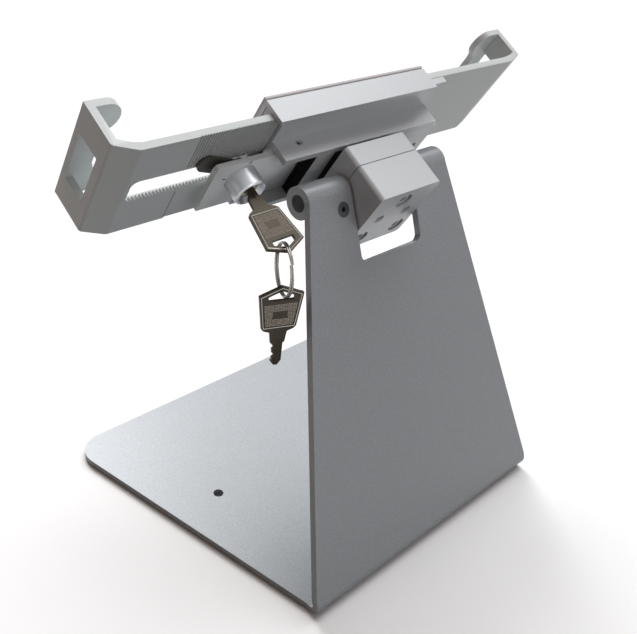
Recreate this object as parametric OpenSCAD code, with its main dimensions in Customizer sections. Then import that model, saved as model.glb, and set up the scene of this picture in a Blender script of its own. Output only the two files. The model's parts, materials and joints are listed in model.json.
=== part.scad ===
// Locking kiosk stand for a tablet, in millimetres.
// Origin: midway between the two desk screw holes, on the underside of the base plate.
// +Z is up, the user sits on the -Y side, and the lock is on the +X side.

/* [Stand sheet] */
// Thickness of the bent steel sheet
sheet_t = 4; // [3:0.5:6]
// Width of the sheet at the bend
bend_w = 190; // [170:1:220]
// Width of the base at its front edge
base_front_w = 264; // [220:1:300]
// From the desk screw holes to the front edge
base_front = 86; // [70:1:120]
// From the desk screw holes to the bend
base_rear = 102; // [90:1:130]
// Radius of the two front corners
base_corner_r = 15; // [5:1:25]
// Outside radius of the bend
bend_r = 6; // [5:0.5:10]
// Length on each side of the bend where the edges run parallel
bend_zone = 12; // [11:1:20]
// Distance of each desk screw hole from the middle
desk_hole_x = 83; // [40:1:85]
// Diameter of the desk screw holes
desk_hole_d = 6; // [4:0.5:8]
// Diameter of the rubber foot pads
foot_d = 18; // [10:1:24]
// Thickness of the rubber foot pads
foot_t = 1; // [0.5:0.25:3]
// Inset of the foot pads from the edges
foot_inset = 20; // [15:1:30]

/* [Upright] */
// Forward lean of the upright
upright_lean = 23.3; // [10:0.1:28]
// Length of the upright, bend line to hinge axis
hinge_s = 212.9; // [200:0.1:240]
// Width of the upright at the hinge
upright_top_w = 105; // [95:1:120]
// Width of the notch for the hinge block
notch_w = 47; // [46:0.5:52]
// Distance from the hinge axis down to the notch's floor
notch_depth = 37.9; // [36:0.1:50]
// Corner radius in the notch
notch_r = 4; // [1:0.5:6]

/* [Hinge] */
// Diameter of the hinge shaft
shaft_d = 9; // [7:0.5:11]
// Radial clearance of the shaft in its bores
shaft_clear = 0.05; // [0.02:0.01:0.1]
// How far the shaft ends lie inside the knuckles
shaft_recess = 8; // [1:0.5:10]
// Distance from hinge axis down to the ear screws
ear_screw_drop = 8.1; // [7.5:0.1:9]
// Distance of each ear screw from the middle
ear_screw_x = 30.9; // [28:0.1:40]
// Diameter of the ear screw heads
ear_screw_d = 8; // [6:0.5:9]
// Height of the hinge axis above the arms' lower edge
hinge_v = 31.5; // [30:0.1:33]
// Backward tilt of the head
head_tilt = 29.4; // [5:0.1:60]

/* [Hinge block] */
// Width of the hinge block
block_w = 45.2; // [44:0.1:45.4]
// Height of the hinge block below the hinge axis
block_below = 25.5; // [24:0.1:27]
// Height of the hinge block above the hinge axis
block_above = 19.5; // [17:0.1:22]
// Depth of the front half, in front of the hinge axis
block_front = 12.2; // [10:0.1:16]
// Depth of the rear half, behind the hinge axis
block_rear = 21.6; // [18:0.1:24]
// Gap between the two halves
block_gap = 0.4; // [0.2:0.1:1]
// Thickness of the spacer between block and bar
spacer_t = 3.7; // [2:0.1:5]
// Margin of the spacer inside the block's sides
spacer_margin = 1.5; // [0:0.5:6]
// Diameter of the clamp screws
clamp_screw_d = 5; // [4:0.5:6]

/* [Rail] */
// Length of the rail
rail_l = 114; // [100:1:130]
// Thickness of the rail's front wall
rail_front_t = 2.2; // [1.5:0.1:4]
// Thickness of the rail's top and bottom walls
rail_wall_t = 2.4; // [1.5:0.1:4]
// Thickness of the rail's web behind the arms
web_t = 1.7; // [1.2:0.1:3]
// Overhang of the top wall behind the web
top_lip = 1.8; // [0.5:0.1:3]
// Depth of the two ledges behind the arms
ledge_depth = 14.3; // [12:0.1:18]
// Thickness of the ledges
ledge_t = 3.5; // [2:0.1:5]
// Top of the upper ledge, above the arms' lower edge
ledge_top = 46.3; // [42:0.1:50]
// Bottom of the lower ledge, above the arms' lower edge
ledge_bottom = 7.2; // [4:0.1:10]
// Depth of the seat strips on the web
seat_h = 2.4; // [1.5:0.1:3]
// Height of the seat strips
seat_w = 4.3; // [3:0.1:6]
// Thickness of the pad on the rail's front
pad_t = 1.6; // [0.8:0.1:3]
// End of the mounting bar on the lock side
bar_lock_end = 34; // [31:0.5:36]
// Thickness of the cap on that end
cap_t = 1.8; // [1:0.1:3]
// End of the mounting bar on the free side
bar_free_end = 60; // [57:0.5:66]
// Offset of the rail's channel walls towards the lock
wall_shift = 4.1; // [0:0.1:6]

/* [Arms] */
// Height of the arms
arm_h = 60.5; // [56:0.5:66]
// Thickness of the arms
arm_t = 3.8; // [3:0.1:5]
// Clearance round the sliding arms
arm_clear = 0.3; // [0.25:0.05:0.4]
// Reach of each arm from the middle
arm_reach = 146; // [140:1:160]
// How far each arm's tail lies past the middle
arm_tail = 67; // [60:1:72]
// Depth of the jaws, rail side to the lips' front
jaw_depth = 29.2; // [22:0.1:36]
// Length of the sloped corner along the arm
slope_x = 11.1; // [8:0.1:14]
// Depth of the sloped corner
slope_b = 5.4; // [4:0.1:9]
// Depth of the sloped corner on the free side
free_slope_b = 3.4; // [2:0.1:6]
// Length of the lips
lip_l = 18.5; // [14:0.5:28]
// Width of the lips at half height
lip_mid = 12; // [8:0.5:14]
// Corner radius of the lips
lip_r = 9; // [4:0.5:12]
// Height of the window in each jaw
window_h = 30; // [15:0.5:36]
// Width of the window in each jaw
window_w = 14.6; // [8:0.1:16]
// Distance of the slot's end from the arm's end
slot_end = 14; // [12:0.5:20]
// Radius of the slots' outer corner
slot_r = 4; // [1:0.5:5]
// Clear height of the slots over the rack teeth
slot_h = 12.5; // [11.5:0.1:13]
// Height of the rack tooth tips in the lock-side arm
rack_v = 25; // [24:0.1:26]
// Thickness of the toothed strip
rack_t = 1.6; // [1.2:0.1:2.5]
// Tooth module of rack and pinion
tooth_m = 0.6; // [0.5:0.05:0.65]
// Number of pinion teeth
pinion_teeth = 16; // [14:2:16]
// Diameter of the pinion's pin
pin_d = 4; // [3:0.5:4.5]
// Pitch of the grip grooves
groove_pitch = 1.6; // [1.2:0.1:2.4]
// Depth of the grip grooves
groove_d = 0.5; // [0.2:0.05:0.8]
// Outer end of the grip grooves
groove_end = 103; // [90:1:120]
// Length of the grooved stretch
groove_run = 80; // [40:1:100]
// Depth of the relief on the lower bar
relief_d = 0.5; // [0.1:0.05:0.8]

/* [Lock] */
// Thickness of the lock plate
plate_t = 3; // [2:0.1:4]
// Outer end of the lock plate
plate_end = 92; // [88:0.5:100]
// Inner end of the lock plate
plate_start = 35; // [33:0.5:38]
// Radius of the plate's upper corner
plate_r = 2; // [1:0.5:8]
// Distance of the lock axis from the middle
lock_x = 73.8; // [72:0.1:80]
// Height of the lock axis
lock_v = 31.3; // [26:0.1:32]
// Diameter of the lock housing
lock_d = 17.4; // [15:0.1:20]
// Height of the lock housing behind the plate
lock_h = 10.4; // [8:0.1:14]
// Diameter of the lock's threaded body
lock_body_d = 12; // [11.5:0.1:14]
// Diameter of the lock plug
plug_d = 10; // [9.5:0.1:10.5]
// Reach of the lock cam
cam_l = 27; // [22:0.5:28]
// Width of the lock cam
cam_w = 10; // [8:0.5:12]
// Thickness of the lock cam
cam_t = 1.4; // [1:0.1:1.6]

/* [Keys] */
// Thickness of the keys
key_t = 1.8; // [1.5:0.1:2]
// Width of the key bows at their wide end
bow_w = 23.3; // [20:0.1:26]
// Width of the key bows at the shoulders
shoulder_w = 18.4; // [16:0.1:20]
// Length of the straight sides of the bows
bow_l = 20; // [18:0.5:22]
// Height of the bow's pointed end
bow_peak = 4.8; // [4:0.1:6]
// Width of the bar round the bow's opening
bow_bar = 2.7; // [2.4:0.1:3]
// Width of the opening in the bows
bow_hole_w = 13.4; // [11:0.1:15]
// Length of the key blades, shoulder to tip
blade_l = 22.4; // [20:0.1:23]
// Width of the key blades
blade_w = 5.8; // [5:0.1:6.5]
// Length of the neck between blade and bow
neck_l = 8.4; // [7.5:0.1:9]
// Width of the neck
neck_w = 7.4; // [6.6:0.1:8]
// Mean radius of the split ring
ring_r = 13; // [12:0.1:15]
// Thickness of the ring's wire
ring_wire = 1.2; // [1:0.1:1.2]
// Turn of the ring about the vertical
ring_yaw = -26; // [-30:1:-22]
// Swing of the ring from the vertical
ring_lean = 18; // [15:1:24]

/* [Hidden] */
$fn = 64;
eps = 0.01;
fit = 0.05;
steel = [0.62, 0.64, 0.67];
aluminium = [0.74, 0.75, 0.76];
dark = [0.12, 0.12, 0.13];
nickel = [0.66, 0.63, 0.58];
chrome = [0.85, 0.86, 0.88];

// Stand: bend, knuckle and hinge axis
bend_len = bend_r * (1 + sin(upright_lean)) / cos(upright_lean);
shaft_r = shaft_d / 2;
bore_r = shaft_r + shaft_clear;
knuckle_r = bore_r + sheet_t;
knuckle_d = knuckle_r - 0.02;
hinge_y = base_rear - hinge_s * sin(upright_lean) - knuckle_d * cos(upright_lean);
hinge_z = hinge_s * cos(upright_lean) - knuckle_d * sin(upright_lean);
notch_s = hinge_s - notch_depth;
flange_w = 2 * (ear_screw_x - notch_w / 2);
tail_t = sheet_t;
tail_drop = ear_screw_drop + ear_screw_d / 2 + 1;
ear_shank_d = ear_screw_d / 2;

// Head: X across, Y to the rear from the lock-side arm's rear face, Z up from the arms' lower edge
free_rear = -arm_t - arm_clear;
cavity_front = -2 * arm_t - 2 * arm_clear;
cavity_h = arm_h + arm_clear;
front_y = cavity_front - rail_front_t;
rail_low = -arm_clear - rail_wall_t;
rail_high = cavity_h + rail_wall_t;
web_rear = arm_clear + web_t;
seat_y = web_rear + seat_h;
upper_under = ledge_top - ledge_t;
lower_over = ledge_bottom + ledge_t;
channel_gap = 0.15;
channel_low = lower_over + channel_gap;
channel_h = upper_under - lower_over - 2 * channel_gap;
pad_margin = 0.8;
pad_groove = 0.7;
tail_web = 8;
lock_slot_stop = arm_reach - slot_end;
free_slot_stop = rail_l / 2 - 12;
free_tail = rail_l / 2 + wall_shift - arm_clear;

// Hinge block and mounting bar
bar_y = ledge_depth;
hinge_back = bar_y + spacer_t + block_front;
block_end = hinge_back + block_rear;
block_r = 2.5;
clamp_x = 0.316 * block_w;
clamp_points = [[0, 0.53 * block_above], [clamp_x, -0.655 * block_below], [-clamp_x, -0.655 * block_below]];
clamp_low = [clamp_points[1], clamp_points[2]];
clamp_head_d = 1.7 * clamp_screw_d;
clamp_bore_d = 2 * clamp_screw_d;
clamp_sink = 1.2 * clamp_screw_d;
friction_x = 0.228 * block_w;
friction_v = -1.5;
friction_d = 6;
small_screw_d = 3;
small_head_d = 5.4;
small_sink = 1;
bar_screw_x = 25;
bar_screw_l = 11;
grub_d = 4;
grub_bite = 2;
grub_x = 8 - bar_free_end;
grub_v = (lower_over + upper_under) / 2;
plate_y = seat_y + plate_t;
cap_gap = 0.2;
cap_over = 0.4;
plate_grub_x = plate_start + 7.6;
plate_grub_y = seat_y + plate_t / 2;

// Rack and pinion
tooth_pitch = PI * tooth_m;
pitch_r = tooth_m * pinion_teeth / 2;
pinion_v = rack_v + pitch_r - tooth_m;
pinion_tip_r = pitch_r + 0.85 * tooth_m;
pinion_root_r = pitch_r - 1.25 * tooth_m;
rack_depth = 2.25 * tooth_m;
// Half thickness of a rack tooth at a depth below its pitch line
function rack_half(depth) = 0.207 * tooth_pitch + depth * tan(20);

// Lock
cam_gap = 0.6;
cam_rest = 24;
plug_front = cam_gap + cam_t + 0.3;
body_front = plug_front + 0.3;
tail_w = 5;
nut_wall = 2;
lock_rim = 0.8;
lock_face = plate_y + lock_h;
dish_h = 2.4;
plug_face = lock_face - dish_h;

// Keys, the ring in the key's bow and its lowest point
keyway_clear = 0.2;
key_shoulder = lock_face + 10.4;
bow_end = key_shoulder + bow_l;
blade_tip = key_shoulder - blade_l;
key_cuts = [0.7, 1.5, 0.5, 1.1];
hole_peak = bow_end + bow_peak - bow_bar * 1.05;
hole_side = hole_peak - bow_peak * bow_hole_w / bow_w;
hole_base = hole_peak - 5.1;
wire_seat = hole_peak - 2.9;
spare_seat = hole_peak - 1.1 * ring_wire;
back = wire_seat - hinge_back;
rise = lock_v - hinge_v;
ring_top = [lock_x, hinge_y + back * cos(head_tilt) + rise * sin(head_tilt),
    hinge_z - back * sin(head_tilt) + rise * cos(head_tilt)];
ring_hang = [-sin(ring_lean) * sin(ring_yaw), sin(ring_lean) * cos(ring_yaw), -cos(ring_lean)];
ring_mid = ring_top + ring_r * ring_hang;
spare_yaw = ring_yaw + 4;

module on_upright() {
    translate([0, base_rear, 0]) rotate([upright_lean, 0, 0]) children();
}

module in_head() {
    translate([0, hinge_y, hinge_z]) rotate([-head_tilt, 0, 0])
        translate([0, -hinge_back, -hinge_v]) children();
}

// A cylinder along +Y from y0 to y1
module along_y(d, y0, y1) {
    translate([0, y0, 0]) rotate([-90, 0, 0]) cylinder(d = d, h = y1 - y0);
}

// A cylinder along X centred on the middle plane
module along_x(r, l) {
    rotate([0, 90, 0]) cylinder(r = r, h = l, center = true);
}

// A box given by its low and high corners
module box(low, high) {
    translate(low) cube(high - low);
}

// A profile of Y and Z drawn along X
module profile_x(l) {
    rotate([90, 0, 90]) linear_extrude(l, center = true) children();
}

// An outline of X and Z drawn from y0 to y1
module face_y(y0, y1) {
    translate([0, y1, 0]) rotate([90, 0, 0]) linear_extrude(y1 - y0) children();
}

// Plan of the base: flared sides, two round front corners, parallel edges at the bend
module base_outline() {
    flare = atan((base_front_w - bend_w) / 2 / (base_front + base_rear - bend_zone));
    corner_y = base_corner_r - base_front;
    corner_x = base_front_w / 2 - base_corner_r * tan(flare) - base_corner_r / cos(flare);
    side_x = corner_x + base_corner_r * cos(flare);
    side_y = corner_y + base_corner_r * sin(flare);
    zone_y = base_rear - bend_zone;
    rear_y = base_rear - bend_len;
    polygon([[bend_w / 2, rear_y], [bend_w / 2, zone_y], [side_x, side_y], [corner_x, -base_front],
        [-corner_x, -base_front], [-side_x, side_y], [-bend_w / 2, zone_y], [-bend_w / 2, rear_y]]);
    for (m = [-1, 1])
        translate([m * corner_x, corner_y]) circle(r = base_corner_r);
}

// Face of the upright: X across, Y along the sheet from the bend line
module upright_outline() {
    difference() {
        polygon([[-bend_w / 2, bend_len], [bend_w / 2, bend_len], [bend_w / 2, bend_zone],
            [upright_top_w / 2, hinge_s], [-upright_top_w / 2, hinge_s], [-bend_w / 2, bend_zone]]);
        translate([-notch_w / 2, notch_s + notch_r]) square([notch_w, notch_depth]);
        translate([-notch_w / 2 + notch_r, notch_s]) square([notch_w - 2 * notch_r, notch_depth]);
        for (m = [-1, 1])
            translate([m * (notch_w / 2 - notch_r), notch_s + notch_r]) circle(r = notch_r);
    }
}

// Section of the bend, as a profile of Y and Z, run a little into both flat stretches
module bend_section() {
    far = 3 * bend_r;
    run_in = 6;
    slim = 0.04;
    half = (upright_lean - 90) / 2;
    translate([base_rear - bend_len, bend_r]) intersection() {
        difference() {
            circle(r = bend_r - slim);
            circle(r = bend_r - sheet_t + slim);
        }
        polygon([[0, 0], [-far * sin(run_in), -far], [far * cos(half), far * sin(half)] * 2,
            [far * cos(upright_lean + run_in), far * sin(upright_lean + run_in)]]);
    }
}

// Countersunk screw along -Y with its head flush at y = 0; grow widens it for the hole
module countersunk(head_d, shank_d, l, grow = 0) {
    rotate([90, 0, 0]) {
        cylinder(d1 = head_d + 2 * grow, d2 = shank_d + 2 * grow, h = (head_d - shank_d) / 2);
        cylinder(d = shank_d + 2 * grow, h = l + grow);
    }
}

// Six-sided key socket cut into a head at y = 0, along -Y
module hex_socket(size, depth) {
    rotate([90, 0, 0]) translate([0, 0, -eps]) cylinder(d = size, h = depth + eps, $fn = 6);
}

module ear_places() {
    for (m = [-1, 1])
        translate([m * ear_screw_x, 0, hinge_s - ear_screw_drop]) children();
}

module stand_frame() {
    ear_w = (upright_top_w - notch_w) / 2;
    color(steel) difference() {
        union() {
            linear_extrude(sheet_t) base_outline();
            profile_x(bend_w - 0.04) bend_section();
            on_upright() face_y(-sheet_t, 0) upright_outline();
            on_upright() for (m = [0, 1]) mirror([m, 0, 0]) translate([notch_w / 2, 0, hinge_s]) {
                translate([ear_w / 2, -knuckle_d, 0]) along_x(knuckle_r, ear_w);
                box([0, -sheet_t - tail_t, -tail_drop], [flange_w, -sheet_t / 2, 0]);
            }
        }
        on_upright() translate([0, -knuckle_d, hinge_s]) along_x(bore_r, upright_top_w + 1);
        on_upright() ear_places() countersunk(ear_screw_d, ear_shank_d, sheet_t + tail_t + eps, fit);
        for (m = [-1, 1])
            translate([m * desk_hole_x, 0, -eps]) cylinder(d = desk_hole_d, h = sheet_t + 2 * eps);
    }
}

module foot_pads() {
    front_x = base_front_w / 2 - 1.2 * foot_inset;
    rear_x = bend_w / 2 - foot_inset;
    color(dark) for (m = [-1, 1]) {
        translate([m * front_x, foot_inset - base_front, -foot_t]) cylinder(d = foot_d, h = foot_t);
        translate([m * rear_x, base_rear - bend_zone - foot_inset, -foot_t]) cylinder(d = foot_d, h = foot_t);
    }
}

module hinge_shaft() {
    color(chrome) translate([0, hinge_y, hinge_z]) along_x(shaft_r, upright_top_w - 2 * shaft_recess);
}

module ear_screws() {
    color(steel) on_upright() ear_places() difference() {
        countersunk(ear_screw_d, ear_shank_d, sheet_t + tail_t);
        hex_socket(ear_shank_d * 0.7, sheet_t / 2);
    }
}

module rounded(w, h, r) {
    translate([-w / 2 + r, -h / 2]) square([w - 2 * r, h]);
    translate([-w / 2, -h / 2 + r]) square([w, h - 2 * r]);
    for (i = [-1, 1], j = [-1, 1])
        translate([i * (w / 2 - r), j * (h / 2 - r)]) circle(r = r);
}

// Slab of the hinge block between two depths, bored for the shaft and the clamp screws
module block_slab(y0, y1) {
    difference() {
        face_y(y0, y1) translate([0, hinge_v + (block_above - block_below) / 2])
            rounded(block_w, block_above + block_below, block_r);
        translate([0, hinge_back, hinge_v]) along_x(bore_r, block_w + 1);
        clamp_places() along_y(clamp_screw_d + 2 * fit, y0 - 1, y1 + 1);
    }
}

module clamp_places(points = clamp_points) {
    for (p = points)
        translate([p[0], 0, hinge_v + p[1]]) children();
}

module friction_places() {
    for (m = [-1, 1])
        translate([m * friction_x, 0, hinge_v + friction_v]) children();
}

module hinge_block_front() {
    color(aluminium) in_head() block_slab(hinge_back - block_front, hinge_back - block_gap / 2);
}

module block_spacer() {
    color(dark) in_head() difference() {
        box([spacer_margin - block_w / 2, bar_y, channel_low],
            [block_w / 2 - spacer_margin, bar_y + spacer_t, channel_low + channel_h]);
        clamp_places(clamp_low) along_y(clamp_screw_d + 2 * fit, bar_y - 1, hinge_back);
    }
}

module hinge_block_cap() {
    color(aluminium) in_head() difference() {
        block_slab(hinge_back + block_gap / 2, block_end);
        clamp_places() along_y(clamp_bore_d, block_end - clamp_sink, block_end + 1);
        friction_places() along_y(friction_d + 2 * fit, hinge_back, block_end + 1);
    }
}

module clamp_screws() {
    color(dark) in_head() for (p = clamp_points) translate([p[0], 0, hinge_v + p[1]]) difference() {
        union() {
            along_y(clamp_screw_d, p[1] < 0 ? seat_y + clamp_screw_d / 2 : hinge_back - block_front / 2,
                block_end - clamp_sink);
            along_y(clamp_head_d, block_end - clamp_sink, block_end - clamp_sink + clamp_screw_d);
        }
        translate([0, block_end - clamp_sink + clamp_screw_d, 0])
            hex_socket(clamp_screw_d * 0.9, clamp_screw_d / 2);
    }
}

module friction_screws() {
    color(dark) in_head() friction_places() difference() {
        along_y(friction_d, hinge_back + shaft_r + 2 * shaft_clear, block_end - small_sink);
        translate([0, block_end - small_sink, 0]) hex_socket(friction_d * 0.6, friction_d / 2);
    }
}

module bar_screw_places() {
    for (m = [-1, 1], v = [lower_over + seat_w / 2, upper_under - seat_w / 2])
        translate([m * bar_screw_x, arm_clear, v]) mirror([0, 1, 0]) children();
}

module mounting_bar() {
    color(aluminium) in_head() difference() {
        box([-bar_free_end, seat_y, channel_low], [bar_lock_end, bar_y, channel_low + channel_h]);
        clamp_places(clamp_low) along_y(clamp_screw_d + 2 * fit, seat_y - 1, bar_y + 1);
        bar_screw_places() countersunk(small_head_d, small_screw_d, bar_screw_l, fit);
        translate([grub_x, 0, grub_v]) along_y(grub_d + 2 * fit, seat_y - 1, bar_y + 1);
    }
}

module bar_screws() {
    color(steel) in_head() bar_screw_places() difference() {
        countersunk(small_head_d, small_screw_d, bar_screw_l);
        hex_socket(small_screw_d * 0.65, web_t * 0.7);
    }
}

module bar_grub_screw() {
    color(dark) in_head() translate([grub_x, 0, grub_v]) difference() {
        along_y(grub_d, web_rear, bar_y - small_sink);
        translate([0, bar_y - small_sink, 0]) hex_socket(grub_d * 0.6, grub_d / 2);
    }
}

// Channel walls round the arms, with a shallow groove along the front upper edge
module wall_section() {
    difference() {
        union() {
            translate([front_y, rail_low]) square([rail_front_t, rail_high - rail_low]);
            translate([front_y, cavity_h]) square([web_rear + top_lip - front_y, rail_wall_t]);
            translate([front_y, rail_low]) square([web_rear - front_y, rail_wall_t]);
        }
        translate([front_y - eps, rail_high - pad_groove]) square([pad_groove, pad_groove + eps]);
    }
}

// Web behind the arms, with the two ledges and the seat strips
module ledge_section() {
    translate([arm_clear, rail_low]) square([web_t, rail_high - rail_low]);
    translate([arm_clear, upper_under]) square([ledge_depth - arm_clear, ledge_t]);
    translate([arm_clear, ledge_bottom]) square([ledge_depth - arm_clear, ledge_t]);
    translate([arm_clear, upper_under - seat_w]) square([seat_y - arm_clear, seat_w]);
    translate([arm_clear, lower_over]) square([seat_y - arm_clear, seat_w]);
}

module rail() {
    color(aluminium) in_head() difference() {
        union() {
            translate([wall_shift, 0, 0]) profile_x(rail_l) wall_section();
            profile_x(rail_l) ledge_section();
        }
        translate([0, 0, pinion_v]) along_y(pin_d + 2 * fit, front_y - 1, web_rear + 1);
        bar_screw_places() countersunk(small_head_d, small_screw_d, bar_screw_l, fit);
        translate([plate_grub_x, plate_grub_y, upper_under - grub_bite - 1])
            cylinder(d = grub_d + 2 * fit, h = ledge_t + grub_bite + 2);
    }
}

module rail_front_pad() {
    color([0.78, 0.74, 0.75]) in_head()
        box([wall_shift - rail_l / 2, front_y - pad_t, rail_low + pad_margin],
            [wall_shift + rail_l / 2, front_y, rail_high]);
}

module pinion_pin() {
    color(chrome) in_head() translate([0, 0, pinion_v]) along_y(pin_d, front_y, web_rear);
}

module pinion_outline() {
    tip_half = 0.25 * tooth_m;
    root_half = 0.6 * tooth_m;
    turn = 360 / pinion_teeth;
    tip_a = asin(tip_half / pinion_tip_r);
    root_a = asin(root_half / pinion_root_r);
    polygon([for (i = [0:pinion_teeth - 1]) for (p = [[pinion_root_r, -root_a], [pinion_tip_r, -tip_a],
        [pinion_tip_r, tip_a], [pinion_root_r, root_a]])
        p[0] * [cos(90 + i * turn + p[1]), sin(90 + i * turn + p[1])]]);
}

module pinion() {
    color(nickel) in_head() translate([0, 0, pinion_v]) difference() {
        face_y(cavity_front + arm_clear, 0) pinion_outline();
        along_y(pin_d + 2 * shaft_clear, cavity_front, 1);
    }
}

// Plan of an arm: flat bar, sloped corner and jaw, with its rear face at y = rear
module arm_plan(rear, tail, drop) {
    slope = atan(drop / slope_x);
    inner_x = arm_reach - slope_x - arm_t * tan(slope / 2);
    inner_y = rear - drop - arm_t * tan(45 - slope / 2);
    polygon([[-tail, rear], [arm_reach - slope_x, rear], [arm_reach, rear - drop],
        [arm_reach, -jaw_depth], [arm_reach - arm_t, -jaw_depth], [arm_reach - arm_t, inner_y],
        [inner_x, rear - arm_t], [-tail, rear - arm_t]]);
}

// Slot with the rack along its lower edge, as an outline of X and Z
module rack_slot(stop, tail) {
    start = tail_web - tail;
    tip_half = tooth_pitch / 2 - rack_half(-tooth_m);
    root_half = tooth_pitch / 2 - rack_half(rack_depth - tooth_m);
    first = ceil((start + tip_half) / tooth_pitch);
    last = floor((stop - tip_half) / tooth_pitch);
    translate([start, rack_v]) square([stop - slot_r - start, slot_h]);
    translate([start, rack_v]) square([stop - start, slot_h - slot_r]);
    translate([stop - slot_r, rack_v + slot_h - slot_r]) circle(r = slot_r);
    for (i = [first:last])
        translate([i * tooth_pitch, rack_v]) polygon([[-tip_half, eps], [-root_half, -rack_depth],
            [root_half, -rack_depth], [tip_half, eps]]);
}

// Lip seen from the front: round ears above and below, run by a hollow curve into a narrow waist
module lip_outline() {
    waist = lip_l - lip_mid;
    ear_x = lip_r - waist;
    rise = sqrt(pow(2 * lip_r, 2) - pow(ear_x + lip_r, 2));
    translate([lip_r, 0]) square([lip_l - lip_r, arm_h]);
    translate([waist, lip_r]) square([lip_mid, arm_h - 2 * lip_r]);
    for (top = [0, 1]) translate([0, top * arm_h]) mirror([0, top]) {
        translate([lip_r, lip_r]) circle(r = lip_r);
        difference() {
            polygon([[lip_r, lip_r], [(waist) / 2, lip_r + rise / 2], [waist, lip_r + rise],
                [lip_r, lip_r + rise]]);
            translate([waist - lip_r, lip_r + rise]) circle(r = lip_r);
        }
    }
}

module arm(rear, tail, drop) {
    window_y = arm_t - jaw_depth;
    difference() {
        union() {
            linear_extrude(arm_h) arm_plan(rear, tail, drop);
            translate([arm_reach - lip_l, 0, 0]) face_y(-jaw_depth, arm_t - jaw_depth) lip_outline();
        }
        box([arm_reach - arm_t - 1, window_y, (arm_h - window_h) / 2],
            [arm_reach + 1, window_y + window_w, (arm_h + window_h) / 2]);
    }
}

module lock_side_arm() {
    groove_low = rack_v + slot_h + groove_pitch;
    relief_top = rack_v - rack_depth - 2 * groove_pitch;
    color(aluminium) in_head() difference() {
        arm(0, arm_tail, slope_b);
        face_y(-arm_t - 1, 1) rack_slot(lock_slot_stop, arm_tail);
        box([tail_web - arm_tail, -arm_t - 1, rack_v - rack_depth - rack_t],
            [lock_slot_stop, -rack_t, rack_v + eps]);
        translate([0, 0, groove_low]) linear_extrude(arm_h)
            for (x = [groove_end - groove_run:groove_pitch:groove_end])
            translate([x, -groove_d]) square([groove_pitch * 0.45, groove_d + 1]);
        box([-arm_tail - 1, -relief_d, -1], [groove_end, 1, relief_top]);
    }
}

module free_side_arm() {
    color(aluminium) in_head() mirror([1, 0, 0]) difference() {
        arm(free_rear, free_tail, free_slope_b);
        face_y(free_rear - arm_t - 1, free_rear + 1)
            translate([0, 2 * pinion_v]) mirror([0, 1]) rack_slot(free_slot_stop, free_tail);
    }
}

module bar_end_cap() {
    color(dark) in_head() box([bar_lock_end + cap_gap, plate_y + cap_over, channel_low],
        [bar_lock_end + cap_gap + cap_t, bar_y, channel_low + channel_h]);
}

module lock_plate() {
    plate_top = channel_low + channel_h;
    color(aluminium) in_head() difference() {
        face_y(seat_y, plate_y) {
            translate([plate_start, channel_low]) square([plate_end - plate_start - plate_r, channel_h]);
            translate([plate_start, channel_low]) square([plate_end - plate_start, channel_h - plate_r]);
            translate([plate_end - plate_r, plate_top - plate_r]) circle(r = plate_r);
        }
        translate([lock_x, 0, lock_v]) along_y(lock_body_d + 2 * fit, seat_y - 1, plate_y + 1);
        translate([plate_grub_x, plate_grub_y, plate_top - grub_bite])
            cylinder(d = grub_d + 2 * fit, h = grub_bite + 1);
    }
}

module plate_grub_screw() {
    top = ledge_top - small_sink / 2;
    low = channel_low + channel_h - grub_bite;
    color(dark) in_head() translate([plate_grub_x, plate_grub_y, 0]) difference() {
        translate([0, 0, low]) cylinder(d = grub_d, h = top - low);
        translate([0, 0, top - grub_d / 2]) cylinder(d = grub_d * 0.6, h = grub_d, $fn = 6);
    }
}

module lock_housing() {
    color(chrome) in_head() translate([lock_x, 0, lock_v]) difference() {
        union() {
            along_y(lock_body_d, body_front, plate_y);
            along_y(lock_d, plate_y, lock_face - lock_rim);
            translate([0, lock_face - lock_rim, 0]) rotate([-90, 0, 0])
                cylinder(d1 = lock_d, d2 = lock_d - 2 * lock_rim, h = lock_rim);
        }
        along_y(plug_d + 2 * shaft_clear, body_front - 1, lock_face + 1);
        translate([0, plug_face, 0]) rotate([-90, 22.5, 0])
            cylinder(d1 = plug_d * 1.1, d2 = lock_d - 2.4 * lock_rim, h = dish_h + eps, $fn = 8);
    }
}

module lock_nut() {
    color(nickel) in_head() translate([lock_x, 0, lock_v]) difference() {
        translate([0, body_front, 0]) rotate([-90, 0, 0])
            cylinder(d = (lock_body_d + nut_wall * 2) / cos(30), h = seat_y - body_front, $fn = 6);
        along_y(lock_body_d + 2 * fit, body_front - 1, seat_y + 1);
    }
}

module lock_plug() {
    slot_x = blade_w / 2 + keyway_clear;
    slot_z = key_t / 2 + keyway_clear;
    color(nickel) in_head() translate([lock_x, 0, lock_v]) difference() {
        union() {
            along_y(plug_d, plug_front, plug_face);
            box([-tail_w / 2, cam_gap, -tail_w / 2], [tail_w / 2, plug_front, tail_w / 2]);
        }
        box([-slot_x, blade_tip - keyway_clear, -slot_z], [slot_x, lock_face + 1, slot_z]);
    }
}

module lock_cam() {
    color(dark) in_head() translate([lock_x, 0, lock_v]) face_y(cam_gap, cam_gap + cam_t) difference() {
        rotate(cam_rest) {
            circle(d = cam_w * 1.3);
            translate([0, -cam_w / 2]) square([cam_l - cam_w / 2, cam_w]);
            translate([cam_l - cam_w / 2, 0]) circle(d = cam_w);
        }
        square(tail_w + 2 * fit, center = true);
    }
}

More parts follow.
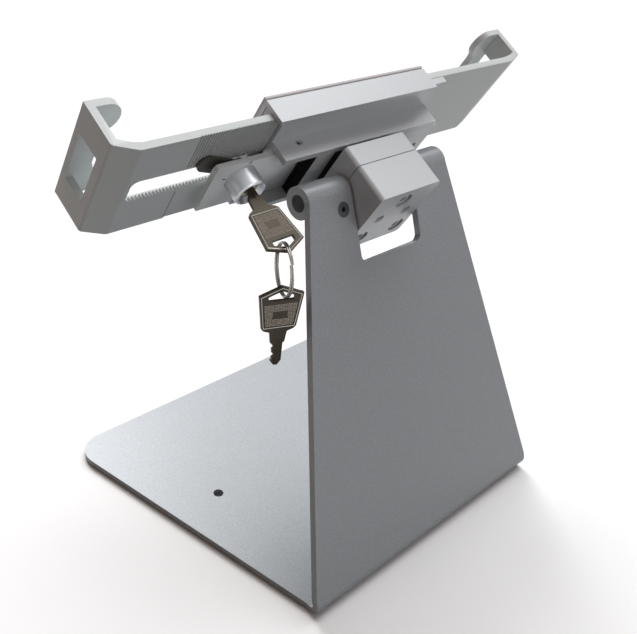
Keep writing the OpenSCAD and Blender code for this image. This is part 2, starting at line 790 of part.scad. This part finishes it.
// A key lying flat: X across, Y from blade tip to the end of its bow, as in the lock
module flat_key() {
    cut_pitch = 2.5;
    half = blade_w / 2;
    stop = key_shoulder - neck_l;
    side = [[half * 0.3, blade_tip], [half, blade_tip + half], [half, stop], [neck_w / 2, stop],
        [neck_w * 0.62, key_shoulder - 1.8], [shoulder_w / 2 - 1.4, key_shoulder - 0.6],
        [shoulder_w / 2, key_shoulder + 0.8], [bow_w / 2, bow_end]];
    other = [for (i = [len(side) - 1:-1:0]) [-side[i][0], side[i][1]]];
    difference() {
        linear_extrude(key_t, center = true) difference() {
            polygon(concat(side, [[0, bow_end + bow_peak]], other));
            polygon([[-bow_hole_w / 2, hole_base], [bow_hole_w / 2, hole_base], [bow_hole_w / 2, hole_side],
                [0, hole_peak], [-bow_hole_w / 2, hole_side]]);
            for (i = [0:len(key_cuts) - 1]) {
                cut = key_cuts[i];
                translate([half, blade_tip + half * 1.4 + i * cut_pitch])
                    polygon([[1, -1.5 - cut], [-cut, -0.5], [-cut, 0.5], [1, 1.5 + cut]]);
            }
        }
        for (m = [-1, 1])
            translate([half * 0.1, blade_tip + (stop + 1.5 - blade_tip) / 2 - 1, m * key_t / 2])
                cube([half * 0.4, stop + 3.5 - blade_tip, key_t * 0.45], center = true);
    }
}

module key() {
    color(nickel) in_head() translate([lock_x, 0, lock_v]) flat_key();
}

module key_ring() {
    color(chrome) translate(ring_mid) rotate([0, 0, ring_yaw]) rotate([0, 90, 0]) rotate_extrude()
        translate([ring_r, 0]) {
            square([ring_wire, ring_wire * 0.9], center = true);
            for (m = [-1, 1])
                translate([0, m * ring_wire * 0.45]) circle(d = ring_wire);
        }
}

module spare_key() {
    color(nickel) translate(ring_mid - [0, 0, ring_r]) rotate([0, 0, spare_yaw]) rotate([90, 0, 0])
        translate([0, -spare_seat, 0]) flat_key();
}

stand_frame();
foot_pads();
hinge_shaft();
ear_screws();
hinge_block_front();
hinge_block_cap();
block_spacer();
clamp_screws();
friction_screws();
mounting_bar();
bar_end_cap();
bar_screws();
bar_grub_screw();
rail();
rail_front_pad();
pinion_pin();
pinion();
lock_side_arm();
free_side_arm();
lock_plate();
plate_grub_screw();
lock_housing();
lock_nut();
lock_plug();
lock_cam();
key();
key_ring();
spare_key();
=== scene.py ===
import json
import math

import bmesh
import bpy
from mathutils import Matrix, Vector


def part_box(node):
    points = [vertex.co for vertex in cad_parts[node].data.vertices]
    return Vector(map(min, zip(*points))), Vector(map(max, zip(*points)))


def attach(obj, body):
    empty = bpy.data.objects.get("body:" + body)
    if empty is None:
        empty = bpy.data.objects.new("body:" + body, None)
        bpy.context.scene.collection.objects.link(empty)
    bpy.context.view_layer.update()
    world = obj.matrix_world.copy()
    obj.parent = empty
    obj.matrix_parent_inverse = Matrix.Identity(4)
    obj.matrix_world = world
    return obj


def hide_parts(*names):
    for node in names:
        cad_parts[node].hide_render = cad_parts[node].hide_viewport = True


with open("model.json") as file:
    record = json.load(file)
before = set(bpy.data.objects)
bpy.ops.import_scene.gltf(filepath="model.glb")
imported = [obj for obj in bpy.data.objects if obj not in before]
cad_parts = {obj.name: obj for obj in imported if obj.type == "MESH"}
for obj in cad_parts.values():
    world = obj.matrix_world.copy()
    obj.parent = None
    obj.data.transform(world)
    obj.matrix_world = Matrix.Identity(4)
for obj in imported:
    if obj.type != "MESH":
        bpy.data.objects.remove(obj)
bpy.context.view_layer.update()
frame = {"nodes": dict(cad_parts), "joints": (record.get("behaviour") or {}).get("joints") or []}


# Stand: one steel sheet, cut to a flared outline, bent once at the back and
# rolled into two knuckles at the top, then powder coated silver grey.
# The coat is thin and slightly pebbled; its eased edges get a brighter, more metallic copy of it, a painted
# edge highlight.
def grained_finish(name, low, high, metallic, roughness, grain, relief, sheen=0.35):
    """A finish whose colour and surface vary in fine grains of the given size in metres."""
    tint_from, tint_to = 0.32, 0.68
    material = bpy.data.materials.new(name)
    material.use_nodes = True
    tree = material.node_tree
    shader = tree.nodes["Principled BSDF"]
    place = tree.nodes.new("ShaderNodeTexCoord")
    speckle = tree.nodes.new("ShaderNodeTexNoise")
    speckle.inputs["Scale"].default_value = 1 / grain
    speckle.inputs["Detail"].default_value = 3
    tint = tree.nodes.new("ShaderNodeValToRGB")
    tint.color_ramp.elements[0].position = tint_from
    tint.color_ramp.elements[0].color = (*low, 1)
    tint.color_ramp.elements[1].position = tint_to
    tint.color_ramp.elements[1].color = (*high, 1)
    bump = tree.nodes.new("ShaderNodeBump")
    bump.inputs["Strength"].default_value = relief
    bump.inputs["Distance"].default_value = grain / 4
    tree.links.new(place.outputs["Object"], speckle.inputs["Vector"])
    tree.links.new(speckle.outputs["Fac"], tint.inputs["Fac"])
    tree.links.new(tint.outputs["Color"], shader.inputs["Base Color"])
    tree.links.new(speckle.outputs["Fac"], bump.inputs["Height"])
    tree.links.new(bump.outputs["Normal"], shader.inputs["Normal"])
    shader.inputs["Metallic"].default_value = metallic
    shader.inputs["Roughness"].default_value = roughness
    shader.inputs["Specular IOR Level"].default_value = sheen
    return material


def placed(name, mesh):
    """An object in the scene made from a mesh that is ready, which is then freed."""
    data = bpy.data.meshes.new(name)
    mesh.to_mesh(data)
    mesh.free()
    piece = bpy.data.objects.new(name, data)
    bpy.context.scene.collection.objects.link(piece)
    return piece


def round_over(mesh, edges, radius, segments, material):
    """Rounds the given edges and gives the new faces the material with that number."""
    bmesh.ops.bevel(
        mesh,
        geom=edges,
        offset=radius,
        segments=segments,
        profile=0.5,
        affect="EDGES",
        clamp_overlap=True,
        material=material,
    )


def eased(node, radius, shortest=0.0, fold=None):
    """A copy of a solid with its sharp edges eased; edges shorter than the limit stay sharp.

    Bends between broad faces along the fold direction are rounded, the shallow ones wide on the inside.
    """
    weld, flat_angle = 1e-6, 0.01
    inside_bend, outside_bend = (False, 0.8, 0.005), (True, 1.3, 0.001)
    least_bend, along_fold, broad_face = 0.15, 0.999, 5e-5
    sharp_angle, smooth_angle = 0.6, math.radians(32)
    mesh = bmesh.new()
    mesh.from_mesh(frame["nodes"][node].data)
    bmesh.ops.remove_doubles(mesh, verts=mesh.verts, dist=weld)
    bmesh.ops.dissolve_limit(mesh, angle_limit=flat_angle, verts=mesh.verts, edges=mesh.edges)
    for convex, widest, bend_radius in (inside_bend, outside_bend) if fold else ():
        bends = [
            edge
            for edge in mesh.edges
            if len(edge.link_faces) == 2
            and edge.is_convex == convex
            and least_bend < edge.calc_face_angle() < widest
            and abs((edge.verts[0].co - edge.verts[1].co).normalized().dot(fold)) > along_fold
            and min(face.calc_area() for face in edge.link_faces) > broad_face
        ]
        round_over(mesh, bends, bend_radius, segments=6, material=0)
    sharp = [
        edge
        for edge in mesh.edges
        if len(edge.link_faces) == 2
        and edge.calc_face_angle() > sharp_angle
        and edge.calc_length() > shortest
    ]
    if radius > 0:
        round_over(mesh, sharp, radius, segments=2, material=1)
    piece = placed(node + "_finished", mesh)
    for face in piece.data.polygons:
        face.use_smooth = True
    piece.data.set_sharp_from_angle(angle=smooth_angle)
    flats = piece.modifiers.new("flat faces stay flat", "WEIGHTED_NORMAL")
    flats.keep_sharp = True
    return piece


def fit(piece, node, body, material, edge=None):
    """Puts a finished piece in the place of its solid and on that solid's body."""
    piece.data.materials.clear()
    piece.data.materials.append(material)
    piece.data.materials.append(edge or material)
    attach(piece, body)
    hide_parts(node)


powder_coat = grained_finish(
    "silver powder coat", (0.31, 0.33, 0.35), (0.41, 0.435, 0.46),
    metallic=0.08, roughness=0.34, grain=0.0006, relief=0.12,
)
# Painted highlight: a brighter, more metallic copy of the coat on the eased edges, for the light line that
# they catch.
painted_edge_highlight = grained_finish(
    "painted edge highlight", (0.50, 0.52, 0.55), (0.70, 0.72, 0.74),
    metallic=0.75, roughness=0.35, grain=0.0008, relief=0.08,
)
fit(eased("stand_frame", radius=0.0005), "stand_frame", "stand", powder_coat, painted_edge_highlight)


# Foot pads: four rubber discs under the corners of the base.
# They are cut from sheet and stuck on, and keep the steel off the desk.
rubber = grained_finish(
    "black rubber", (0.012, 0.012, 0.012), (0.02, 0.02, 0.02),
    metallic=0.0, roughness=0.8, grain=0.0004, relief=0.2,
)
fit(eased("foot_pads", radius=0.0002), "foot_pads", "stand", rubber)


# Hinge shaft: ground steel rod through both knuckles and the block.
# Its ends lie a little inside the knuckles.
bright_steel = grained_finish(
    "zinc steel", (0.42, 0.43, 0.45), (0.52, 0.53, 0.55),
    metallic=0.9, roughness=0.3, grain=0.0004, relief=0.03,
)
fit(eased("hinge_shaft", radius=0.0004), "hinge_shaft", "stand", bright_steel)


# Ear screws: countersunk steel socket screws in dull zinc, one in each ear of the upright.
# They close the rolled knuckles on the shaft, so that it doesn't turn in them.
screw_zinc = grained_finish(
    "dull zinc", (0.06, 0.066, 0.07), (0.09, 0.097, 0.10),
    metallic=0.5, roughness=0.45, grain=0.0004, relief=0.05,
)
fit(eased("ear_screws", radius=0.0), "ear_screws", "stand", screw_zinc)


# Hinge block: two milled aluminium halves clamped round the shaft, satin anodised.
# The front half is fixed to the bar, and the cap closes the bore from behind.
block_finish = grained_finish(
    "block anodising", (0.53, 0.55, 0.57), (0.58, 0.60, 0.62),
    metallic=0.12, roughness=0.36, grain=0.0003, relief=0.03,
)
# Painted highlight: a brighter, more metallic copy of the anodising on the eased edges of the block, bar,
# rail, arms and plate, for the light line that they catch.
painted_cut_edge_highlight = grained_finish(
    "cut edge painted highlight", (0.72, 0.74, 0.76), (0.82, 0.84, 0.86),
    metallic=0.75, roughness=0.3, grain=0.0006, relief=0.03,
)
for half in ("hinge_block_front", "hinge_block_cap"):
    fit(eased(half, radius=0.0004), half, "head", block_finish, painted_cut_edge_highlight)


# Block spacer: a black plastic plate between the block and the bar.
# It is cut from sheet and held by the pressure of the screws.
# Painted shade: this near-black colour with almost no sheen also stands for the deep shade in the gaps
# beside the block and at the bar's lock-side end.
black_plastic_and_shade = grained_finish(
    "black plastic", (0.004, 0.004, 0.004), (0.007, 0.007, 0.007),
    metallic=0.0, roughness=0.8, grain=0.0004, relief=0.05, sheen=0.08,
)
fit(eased("block_spacer", radius=0.0003), "block_spacer", "head", black_plastic_and_shade)


# Block screws: three steel socket screws hold the two halves of the block together.
# Two set screws beside them press on the shaft and set the friction of the tilt.
for screws in ("clamp_screws", "friction_screws"):
    fit(eased(screws, radius=0.0002), screws, "head", bright_steel)


# Mounting bar: flat aluminium bar that lies between the rail's two ledges.
# It is sawn from stock, anodised like the block, and carries the block on its rear face.
bar = eased("mounting_bar", radius=0.0003)
fit(bar, "mounting_bar", "head", block_finish, painted_cut_edge_highlight)


# Bar screws: four countersunk steel screws from inside the rail into the bar.
# A set screw in the bar's free end tightens it between the ledges.
fit(eased("bar_screws", radius=0.0001), "bar_screws", "head", bright_steel)
fit(eased("bar_grub_screw", radius=0.0001), "bar_grub_screw", "head", bright_steel)


# End cap: moulded black plastic cap on the bar's lock-side end, above the lock plate.
# It is pushed on and covers the sawn end of the bar.
# Painted shade: the cap's near-black plastic also stands for the deep shade in the gap between the bar and
# the lock plate.
fit(eased("bar_end_cap", radius=0.0002), "bar_end_cap", "head", black_plastic_and_shade)


# Rail: aluminium extrusion, sawn to length and satin anodised.
# Both arms run inside it, and its two ledges hold the bar and the lock plate.
rail_finish = grained_finish(
    "rail anodising", (0.53, 0.55, 0.57), (0.58, 0.60, 0.62),
    metallic=0.12, roughness=0.36, grain=0.0003, relief=0.03,
)
fit(eased("rail", radius=0.0003), "rail", "head", rail_finish, painted_cut_edge_highlight)


# Front pad: pale plastic strip that the tablet's back rests on.
# It is cut from sheet and stuck on the front of the rail.
pad_plastic = grained_finish(
    "pale strip", (0.58, 0.55, 0.555), (0.64, 0.61, 0.615),
    metallic=0.0, roughness=0.6, grain=0.0005, relief=0.08,
)
fit(eased("rail_front_pad", radius=0.0003), "rail_front_pad", "head", pad_plastic)


# Pinion and its pin: the small plated gear inside the rail, on a steel pin.
# It meshes with the teeth in both arms' slots, so that they move together.
fit(eased("pinion_pin", radius=0.0002), "pinion_pin", "head", bright_steel)
nickel = grained_finish(
    "nickel plate", (0.40, 0.37, 0.33), (0.50, 0.47, 0.43),
    metallic=0.9, roughness=0.28, grain=0.0005, relief=0.05,
)
fit(eased("pinion", radius=0.0), "pinion", "pinion", nickel)


# Arms: aluminium strip, slotted and toothed, bent into a windowed jaw with a lip.
# The lock-side arm has fine cross grooves on its upper half, where the cam grips.
# Edges as short as those of the teeth and grooves stay sharp.
head_lean = math.radians(-29.4)
tooth_edge = 0.009
hinge = next(Vector(joint["pos_m"]) for joint in frame["joints"] if joint["name"] == "head_tilt")
head_frame = Matrix.Translation(hinge) @ Matrix.Rotation(head_lean, 4, "X")
head_up = head_frame.to_3x3() @ Vector((0, 0, 1))
arm_finish = grained_finish(
    "arm anodising", (0.56, 0.59, 0.59), (0.62, 0.65, 0.65),
    metallic=0.03, roughness=0.38, grain=0.0003, relief=0.03,
)
for arm, body in (("lock_side_arm", "lock_arm"), ("free_side_arm", "free_arm")):
    rounded = eased(arm, radius=0.0003, shortest=tooth_edge, fold=head_up)
    fit(rounded, arm, body, arm_finish, painted_cut_edge_highlight)


# Relief line: the edge of the shallow milled relief on the lock-side arm, below its slot.
# A thin near-black strip along the step's corner is painted shade, for the fine dark line that the step
# shows across the strip.
hinge_back, hinge_up = 30.2, 31.5
rail_frame = head_frame @ Matrix.Translation(Vector((0, -hinge_back, -hinge_up)) / 1000)
line_x, line_w, line_low, line_high, line_t = 103.3, 0.45, 0.5, 21.5, 0.06


def thin_strip(mesh, place, size):
    """Adds a closed strip of the given size in millimetres to a mesh."""
    bmesh.ops.create_cube(mesh, size=0.001, matrix=place @ Matrix.Diagonal((*size, 1)))


# Painted shade: the near-black colour of this strip stands for the shade in the corner of the relief's
# step.
line_shade = grained_finish(
    "painted shade line", (0.10, 0.10, 0.10), (0.16, 0.16, 0.16),
    metallic=0.0, roughness=0.8, grain=0.0003, relief=0.02,
)
line_place = rail_frame @ Matrix.Translation(Vector((line_x, 0, (line_low + line_high) / 2)) / 1000)
line = bmesh.new()
thin_strip(line, line_place, (line_w, line_t, line_high - line_low))
relief_shade_line = placed("relief_shade_line", line)
relief_shade_line.data.materials.append(line_shade)
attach(relief_shade_line, "lock_arm")


# Lock plate: aluminium plate in the rail's channel that carries the cam lock.
# It is sawn, bored for the lock and anodised, and a set screw in the upper ledge holds it.
# Painted light: the plate gets a lighter copy of the block's anodising, for the light that it catches under
# the ledge.
plate_lightened_finish = grained_finish(
    "plate anodising painted lighter", (0.68, 0.70, 0.71), (0.74, 0.76, 0.77),
    metallic=0.12, roughness=0.34, grain=0.0003, relief=0.03,
)
fit(eased("lock_plate", radius=0.0006), "lock_plate", "head", plate_lightened_finish, painted_cut_edge_highlight)
fit(eased("plate_grub_screw", radius=0.0001), "plate_grub_screw", "head", bright_steel)


# Lock housing and nut: die-cast body with a satin chrome finish, set through the plate.
# A steel nut on the body's thread holds it from the other side.
lock_chrome = grained_finish(
    "lock chrome", (0.50, 0.52, 0.54), (0.56, 0.58, 0.60),
    metallic=0.8, roughness=0.34, grain=0.0006, relief=0.02,
)
fit(eased("lock_housing", radius=0.0003), "lock_housing", "head", lock_chrome)
fit(eased("lock_nut", radius=0.0002), "lock_nut", "head", bright_steel)


# Lock plug and cam: turned plug with a brass-coloured plating, which the key turns in the housing.
# The cam is stamped from dark steel and fixed on the plug's end, behind the arm.
plug_brass = grained_finish(
    "plug plating", (0.45, 0.38, 0.24), (0.52, 0.45, 0.30),
    metallic=0.9, roughness=0.25, grain=0.0005, relief=0.05,
)
fit(eased("lock_plug", radius=0.0002), "lock_plug", "plug", plug_brass)
cam_steel = grained_finish(
    "cam steel", (0.055, 0.05, 0.042), (0.085, 0.078, 0.066),
    metallic=0.5, roughness=0.45, grain=0.0004, relief=0.05,
)
fit(eased("lock_cam", radius=0.0002), "lock_cam", "plug", cam_steel)


# Index marks: two short dark lines at the ends of the key's quarter turn.
# They are printed in ink on the face of the lock plate, round the housing.
lock_x, lock_up = 73.8, 31.3
lock_frame = rail_frame @ Matrix.Translation(Vector((lock_x, 0, lock_up)) / 1000)
mark_face, mark_from, mark_to, mark_w, mark_t = 7.4, 9.6, 11.8, 0.7, 0.06
mark_turns = (100, 10)
mark_ink = grained_finish(
    "mark ink", (0.02, 0.02, 0.02), (0.03, 0.03, 0.03),
    metallic=0.0, roughness=0.6, grain=0.0003, relief=0.02,
)
marks = bmesh.new()
for turn in mark_turns:
    mark_place = (
        lock_frame
        @ Matrix.Rotation(math.radians(-turn), 4, "Y")
        @ Matrix.Translation(Vector(((mark_from + mark_to) / 2, mark_face, 0)) / 1000)
    )
    thin_strip(marks, mark_place, (mark_to - mark_from, mark_t, mark_w))
index_marks = placed("index_marks", marks)
index_marks.data.materials.append(mark_ink)
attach(index_marks, "head")


# Keys: stamped nickel silver, plated. A ridge runs round the bow, and both faces are pebbled
# apart from a plain panel in the middle and a plain band beside the ring's slot.
# One key sits in the lock, and the spare hangs from the ring.
key_half_t = 0.9
bow_shoulder, bow_corner = 29.0, 48.2
shoulder_half_w, corner_gain, plain_margin = 9.2, 2.45, 1.9
pebbles_from, pebbles_to, pebble_pitch = 30.2, 43.6, 0.85
pebble_half_w, pebble_h, relief_sunk = 0.36, 0.2, 0.03
panel_half_w, panel_from, panel_to = 4.2, 34.6, 38.4
ridge_half_w, ridge_h, mitre_limit = 0.26, 0.24, 0.4
ridge_line = [(-8.2, 29.3), (-10.5, 47.5), (0.0, 51.8), (10.5, 47.5), (8.2, 29.3)]


def pebble(mesh, x, y, base, face):
    """One four-sided pebble, closed below, on a face of a key."""
    corners = ((-1, -1), (1, -1), (1, 1), (-1, 1))
    low = [mesh.verts.new((x + dx * pebble_half_w, y + dy * pebble_half_w, base)) for dx, dy in corners]
    tip = mesh.verts.new((x, y, base + face * pebble_h))
    sides = [(low[i], low[(i + 1) % 4], tip) for i in range(4)]
    for side in (*sides, tuple(low[::-1])):
        mesh.faces.new(side if face > 0 else side[::-1])


def ridge(mesh, base, face):
    """The ridge round a bow, three points across, mitred at its corners and closed below."""
    sections = []
    for i, point in enumerate(ridge_line):
        here = Vector(point)
        before = (here - Vector(ridge_line[i - 1])).normalized()
        after = (Vector(ridge_line[(i + 1) % len(ridge_line)]) - here).normalized()
        along = (before + after).normalized()
        out = Vector((along.y, -along.x)) * (ridge_half_w / max(along.dot(before), mitre_limit))
        section = ((*(here + out), base), (*here, base + face * ridge_h), (*(here - out), base))
        sections.append([mesh.verts.new(corner) for corner in section])
    for i, section in enumerate(sections):
        following = sections[(i + 1) % len(sections)]
        for k in range(3):
            beside = (k + 1) % 3
            quad = (section[k], following[k], following[beside], section[beside])
            mesh.faces.new(quad if face > 0 else quad[::-1]).material_index = 1


def stamped_relief(name, place):
    """Pebbles and ridges on both faces of a key that lies flat, in millimetres from the lock's frame."""
    mesh = bmesh.new()
    for face in (-1, 1):
        base = face * (key_half_t - relief_sunk)
        for row in range(int((pebbles_to - pebbles_from) / pebble_pitch)):
            y = pebbles_from + (row + 0.5) * pebble_pitch
            gain = corner_gain * (y - bow_shoulder) / (bow_corner - bow_shoulder)
            count = int(2 * (shoulder_half_w + gain - plain_margin) / pebble_pitch)
            for column in range(count):
                x = (column - (count - 1) / 2) * pebble_pitch
                on_panel = abs(x) < panel_half_w and panel_from < y < panel_to
                if not on_panel:
                    pebble(mesh, x, y, base, face)
        ridge(mesh, base, face)
    mesh.transform(place @ Matrix.Scale(0.001, 4))
    mesh.normal_update()
    return placed(name, mesh)


key_nickel = grained_finish(
    "key nickel", (0.046, 0.039, 0.029), (0.064, 0.055, 0.042),
    metallic=0.8, roughness=0.36, grain=0.0006, relief=0.05,
)
# Painted glints and highlight: the pebbles and the ridge get brighter copies of the key's nickel than its
# flat faces.
pebble_glint_nickel = grained_finish(
    "pebbled nickel with painted glints", (0.20, 0.175, 0.15), (0.34, 0.30, 0.26),
    metallic=0.8, roughness=0.3, grain=0.0012, relief=0.05,
)
ridge_highlight_nickel = grained_finish(
    "ridge nickel with painted highlight", (0.40, 0.38, 0.36), (0.52, 0.50, 0.48),
    metallic=0.9, roughness=0.28, grain=0.0012, relief=0.05,
)
ring_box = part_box("key_ring")
ring_mid = (ring_box[0] + ring_box[1]) / 2
spare_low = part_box("spare_key")[0].z
spare_yaw = math.radians(-22)
blade_tip = 0.0058
spare_frame = (
    Matrix.Translation((ring_mid.x, ring_mid.y, spare_low))
    @ Matrix.Rotation(spare_yaw, 4, "Z")
    @ Matrix.Rotation(math.radians(90), 4, "X")
    @ Matrix.Translation((0, -blade_tip, 0))
)
for node, body, place in (("key", "key", lock_frame), ("spare_key", "spare", spare_frame)):
    fit(eased(node, radius=0.0002), node, body, key_nickel)
    relief = stamped_relief(node + "_relief", place)
    relief.data.materials.append(pebble_glint_nickel)
    relief.data.materials.append(ridge_highlight_nickel)
    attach(relief, body)


# Split ring: hardened steel wire wound twice, the two turns side by side.
# It is sprung open to thread the keys on, and hangs loose in the bow of the key in the lock.
ring_radius, wire_radius, turn_offset = 0.013, 0.00056, 0.00055
wire_points, wire_step, wire_start, wire_sides = 181, 4, 40, 8
crossing_points = 12
ring_yaw = math.radians(-26)
ring_axis = Vector((math.cos(ring_yaw), math.sin(ring_yaw), 0))
ring_flat = Vector((-math.sin(ring_yaw), math.cos(ring_yaw), 0))
ring_steel = grained_finish(
    "ring steel", (0.22, 0.2, 0.19), (0.34, 0.31, 0.29),
    metallic=0.95, roughness=0.2, grain=0.0008, relief=0.04,
)
coil = bmesh.new()
loops = []
for point in range(wire_points):
    turn = math.radians(wire_start + point * wire_step)
    shift = max(-1.0, min(1.0, (point - wire_points // 2) / crossing_points)) * turn_offset
    outward = ring_flat * math.cos(turn) + Vector((0, 0, 1)) * math.sin(turn)
    middle = ring_mid + outward * ring_radius + ring_axis * shift
    round_wire = [side * math.tau / wire_sides for side in range(wire_sides)]
    spokes = [outward * math.cos(angle) + ring_axis * math.sin(angle) for angle in round_wire]
    loops.append([coil.verts.new(middle + spoke * wire_radius) for spoke in spokes])
for here, after in zip(loops, loops[1:]):
    for i in range(wire_sides):
        beside = (i + 1) % wire_sides
        coil.faces.new((here[i], here[beside], after[beside], after[i]))
coil.faces.new(loops[0][::-1])
coil.faces.new(loops[-1])
bmesh.ops.recalc_face_normals(coil, faces=coil.faces)
split_ring = placed("split_ring", coil)
for face in split_ring.data.polygons:
    face.use_smooth = len(face.vertices) == 4
fit(split_ring, "key_ring", "ring", ring_steel)


# Floor: a pale studio sweep that the stand's feet rest on.
# It is matt paint that shows white, and keeps the shadow.
half_floor = 3.0
floor_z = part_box("foot_pads")[0].z
floor_corners = [(x * half_floor, y * half_floor, floor_z) for x, y in ((-1, -1), (1, -1), (1, 1), (-1, 1))]
floor_mesh = bpy.data.meshes.new("floor")
floor_mesh.from_pydata(floor_corners, [], [(0, 1, 2, 3)])
floor = bpy.data.objects.new("floor", floor_mesh)
bpy.context.scene.collection.objects.link(floor)
floor_paint = bpy.data.materials.new("studio floor")
floor_paint.use_nodes = True
floor_tree = floor_paint.node_tree
floor_shader = floor_tree.nodes["Principled BSDF"]
floor_shader.inputs["Roughness"].default_value = 0.9


def shown_rays(tree):
    """Factor that is 1 for the rays that show the surroundings: camera, mirror and glass rays."""
    path = tree.nodes.new("ShaderNodeLightPath")
    first = tree.nodes.new("ShaderNodeMath")
    first.operation = "MAXIMUM"
    second = tree.nodes.new("ShaderNodeMath")
    second.operation = "MAXIMUM"
    tree.links.new(path.outputs["Is Camera Ray"], first.inputs[0])
    tree.links.new(path.outputs["Is Glossy Ray"], first.inputs[1])
    tree.links.new(first.outputs[0], second.inputs[0])
    tree.links.new(path.outputs["Is Transmission Ray"], second.inputs[1])
    return second.outputs[0]


floor_tone = floor_tree.nodes.new("ShaderNodeMix")
floor_tone.data_type = "RGBA"
floor_tone.inputs["A"].default_value = (0.085, 0.084, 0.084, 1)
floor_tone.inputs["B"].default_value = (0.95, 0.95, 0.95, 1)
floor_tree.links.new(shown_rays(floor_tree), floor_tone.inputs["Factor"])
floor_tree.links.new(floor_tone.outputs["Result"], floor_shader.inputs["Base Color"])
floor_mesh.materials.append(floor_paint)


# Light: a white backdrop, a cool fill from the free side and a warm dim one from the lock side,
# a broad lamp overhead, one in front that gives the base its sheen, and a weak one behind.
world = bpy.data.worlds.new("studio")
bpy.context.scene.world = world
world.use_nodes = True
sky = world.node_tree
heading = sky.nodes.new("ShaderNodeTexCoord")
split = sky.nodes.new("ShaderNodeSeparateXYZ")
across_room = sky.nodes.new("ShaderNodeMapRange")
across_room.inputs["From Min"].default_value = -1.0
fill = sky.nodes.new("ShaderNodeValToRGB")
fill.color_ramp.elements[0].color = (0.42, 0.45, 0.50, 1)
fill.color_ramp.elements[1].position = 0.72
fill.color_ramp.elements[1].color = (0.13, 0.085, 0.058, 1)
seen_tone = sky.nodes.new("ShaderNodeMix")
seen_tone.data_type = "RGBA"
seen_tone.inputs["B"].default_value = (1, 1, 1, 1)
sky.links.new(heading.outputs["Generated"], split.inputs["Vector"])
sky.links.new(split.outputs["X"], across_room.inputs["Value"])
sky.links.new(across_room.outputs["Result"], fill.inputs["Fac"])
sky.links.new(fill.outputs["Color"], seen_tone.inputs["A"])
sky.links.new(shown_rays(sky), seen_tone.inputs["Factor"])
sky.links.new(seen_tone.outputs["Result"], sky.nodes["Background"].inputs["Color"])

for lamp_name, strength, spread, toward in (
    ("overhead", 1.9, 50, (0.42, 0.24, -0.88)),
    ("front window", 1.6, 22, (0.22, 0.68, -0.70)),
    ("rear window", 0.38, 30, (0.12, -0.98, -0.10)),
):
    lamp_data = bpy.data.lights.new(lamp_name, "SUN")
    lamp_data.energy = strength
    lamp_data.angle = math.radians(spread)
    lamp = bpy.data.objects.new(lamp_name, lamp_data)
    lamp.rotation_euler = Vector(toward).to_track_quat("-Z", "Y").to_euler()
    bpy.context.scene.collection.objects.link(lamp)


# Camera: behind the stand on the lock side, looking down, rolled a little as in the photograph.
# Its place and lens were solved from straight edges of the base, upright, rail and arms.
sensor_mm, lens_mm = 36.0, 46.55
shift_across, shift_up = 0.0275, 0.0006
eye = Vector((0.3143, 0.2676, 0.3680))
gaze = Vector((-0.6082, -0.5724, -0.5499)).normalized()
across = Vector((-0.7290, 0.6770, 0.1016))
across = (across - across.dot(gaze) * gaze).normalized()
rise = across.cross(gaze)
camera_data = bpy.data.cameras.new("camera")
camera_data.sensor_width = sensor_mm
camera_data.lens = lens_mm
camera_data.shift_x = shift_across
camera_data.shift_y = shift_up
camera = bpy.data.objects.new("camera", camera_data)
camera.matrix_world = Matrix.Translation(eye) @ Matrix((across, rise, -gaze)).transposed().to_4x4()
bpy.context.scene.collection.objects.link(camera)
bpy.context.scene.camera = camera
bpy.context.scene.view_settings.view_transform = "Standard"
